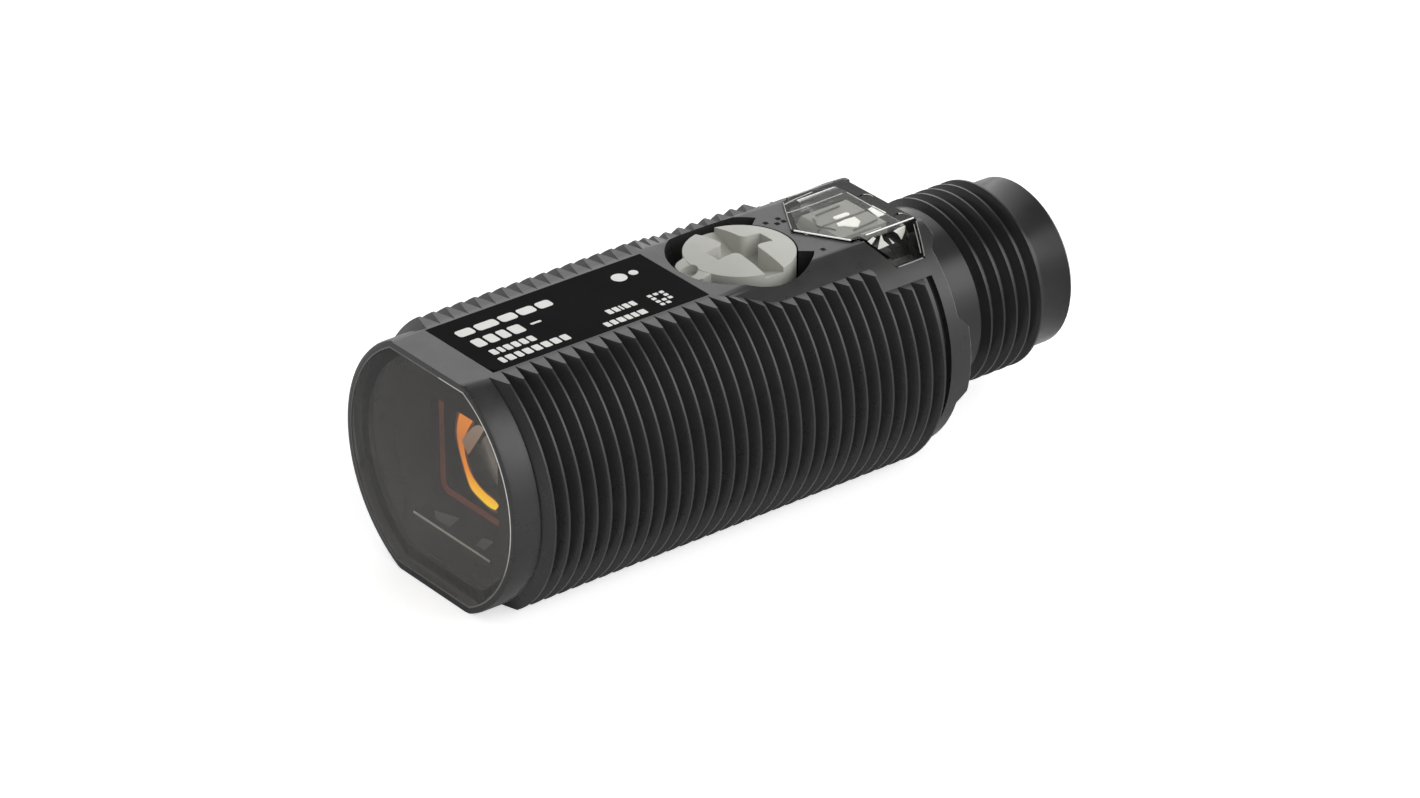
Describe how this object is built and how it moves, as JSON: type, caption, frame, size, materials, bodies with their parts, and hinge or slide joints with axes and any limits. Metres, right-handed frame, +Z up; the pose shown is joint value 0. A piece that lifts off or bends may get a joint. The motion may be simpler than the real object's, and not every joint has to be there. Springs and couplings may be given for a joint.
{
  "type": "photoelectric sensor",
  "caption": "Threaded cylindrical photoelectric sensor with a smoked window, a sensitivity adjuster, a clear indicator cap and a round threaded plug connector.",
  "frame": {"origin": "on the barrel's axis at the front face", "axes": "+Y back towards the connector, along the barrel, so the sensor looks along -Y; +Z up through the adjuster and the clear cap; +X to the right seen from behind"},
  "size_m": [0.018, 0.0447, 0.0154],
  "materials": {
    "black_plastic": "satin moulded plastic",
    "smoked_window": "polished smoked acrylic",
    "black_rubber": "matt",
    "label_black": "smooth semi-gloss print",
    "grey_plastic": "fine satin",
    "clear_plastic": "polished clear polycarbonate",
    "clear_lens": "polished acrylic",
    "holder_plastic": "matt",
    "connector_plastic": "semi-gloss moulded plastic",
    "mirror_glass": "half-silvered",
    "led_epoxy": "clear tinted epoxy",
    "dark_epoxy": "matt epoxy",
    "tin_plate": "tin plated",
    "circuit_board": "green solder mask",
    "flex_film": "polyimide film",
    "ceramic_tan": "fired ceramic",
    "white_package": "white",
    "clear_guide": "polished",
    "trimmer_blue": "matt",
    "white_rotor": "matt",
    "insert_plastic": "matt",
    "gold_plate": "gold plated",
    "tinned_wire": "tinned"
  },
  "bodies": {
    "sensor": {"housing_barrel": "black_plastic", "front_window": "smoked_window", "window_gasket": "black_rubber", "label_plate": "label_black", "indicator_cap": "clear_plastic", "objective_lens": "clear_lens", "optics_holder": "holder_plastic", "connector_shell": "connector_plastic", "half_mirror": "mirror_glass", "emitter_led": "led_epoxy", "receiver_photodiode": "dark_epoxy", "receiver_shield": "tin_plate", "optics_board": "circuit_board", "main_board": "circuit_board", "board_flex": "flex_film", "control_chip": "dark_epoxy", "output_transistor": "dark_epoxy", "board_capacitors": "ceramic_tan", "operation_led": "white_package", "stability_led": "white_package", "light_guide": "clear_guide", "trimmer_body": "trimmer_blue", "dial_seal": "black_rubber", "contact_carrier": "insert_plastic", "contact_pins": "gold_plate", "pin_leads": "tinned_wire", "rear_seal": "black_rubber"},
    "adjuster": {"adjuster_dial": "grey_plastic", "trimmer_rotor": "white_rotor"}
  },
  "joints": [
    {"name": "adjuster_turn", "type": "hinge", "parent": "sensor", "child": "adjuster", "pos_m": [0, 0.02288, 0.0059], "axis": [0, 0, 1], "range_deg": [-118, 118]}
  ]
}
